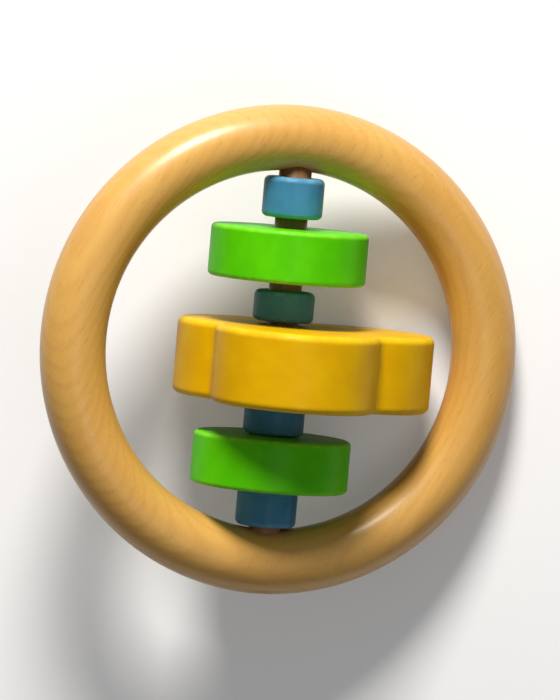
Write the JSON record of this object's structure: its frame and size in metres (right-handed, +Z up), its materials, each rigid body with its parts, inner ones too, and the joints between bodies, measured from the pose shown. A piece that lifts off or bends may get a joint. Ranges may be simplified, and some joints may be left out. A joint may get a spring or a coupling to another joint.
{
  "type": "ring rattle",
  "caption": "Wooden grasping-ring baby rattle: a round ring with a crossbar that carries painted beads, discs and a thick three-lobed clacker, which spin and slide to rattle.",
  "frame": {"origin": "on the table under the middle of the ring, as the rattle lies on two lobes of the clacker and one side of the ring", "axes": "+Z up from the table, +Y along the crossbar away from the end that is drilled right through the ring, +X towards the side of the ring that touches the table"},
  "size_m": [0.0988, 0.105, 0.0526],
  "materials": {
    "ring_wood": "clear gloss lacquer on pale hardwood",
    "bar_wood": "sanded hardwood dowel, darker than the ring",
    "blue_paint": "satin blue paint on wood",
    "green_paint": "glossy light green paint on wood",
    "yellow_paint": "glossy yellow paint on wood"
  },
  "bodies": {
    "ring_and_bar": {"grasping_ring": "ring_wood", "crossbar": "bar_wood"},
    "top_bead": {"top_bead": "blue_paint"},
    "upper_bead": {"upper_bead": "blue_paint"},
    "upper_disc": {"upper_disc": "green_paint"},
    "clacker": {"clacker": "yellow_paint"},
    "lower_bead": {"lower_bead": "blue_paint"},
    "lower_disc": {"lower_disc": "green_paint"},
    "bottom_bead": {"bottom_bead": "blue_paint"}
  },
  "joints": [
    {"name": "top_bead_spin", "type": "hinge", "parent": "ring_and_bar", "child": "top_bead", "pos_m": [0, 0.03273, 0.02338], "axis": [0, 1, 0], "continuous": true},
    {"name": "stack_slide", "type": "slide", "parent": "ring_and_bar", "child": "upper_bead", "axis": [0, 1, 0], "range_m": [0, 0.0019]},
    {"name": "upper_disc_spin", "type": "hinge", "parent": "upper_bead", "child": "upper_disc", "pos_m": [0, 0.02051, 0.02338], "axis": [0, 1, 0], "continuous": true},
    {"name": "clacker_spin", "type": "hinge", "parent": "upper_bead", "child": "clacker", "pos_m": [0, -0.00296, 0.02338], "axis": [0, 1, 0], "continuous": true},
    {"name": "lower_bead_spin", "type": "hinge", "parent": "upper_bead", "child": "lower_bead", "pos_m": [0, -0.0148, 0.02338], "axis": [0, 1, 0], "continuous": true},
    {"name": "lower_disc_spin", "type": "hinge", "parent": "upper_bead", "child": "lower_disc", "pos_m": [0, -0.02395, 0.02338], "axis": [0, 1, 0], "continuous": true},
    {"name": "bottom_bead_spin", "type": "hinge", "parent": "upper_bead", "child": "bottom_bead", "pos_m": [0, -0.03381, 0.02338], "axis": [0, 1, 0], "continuous": true}
  ]
}
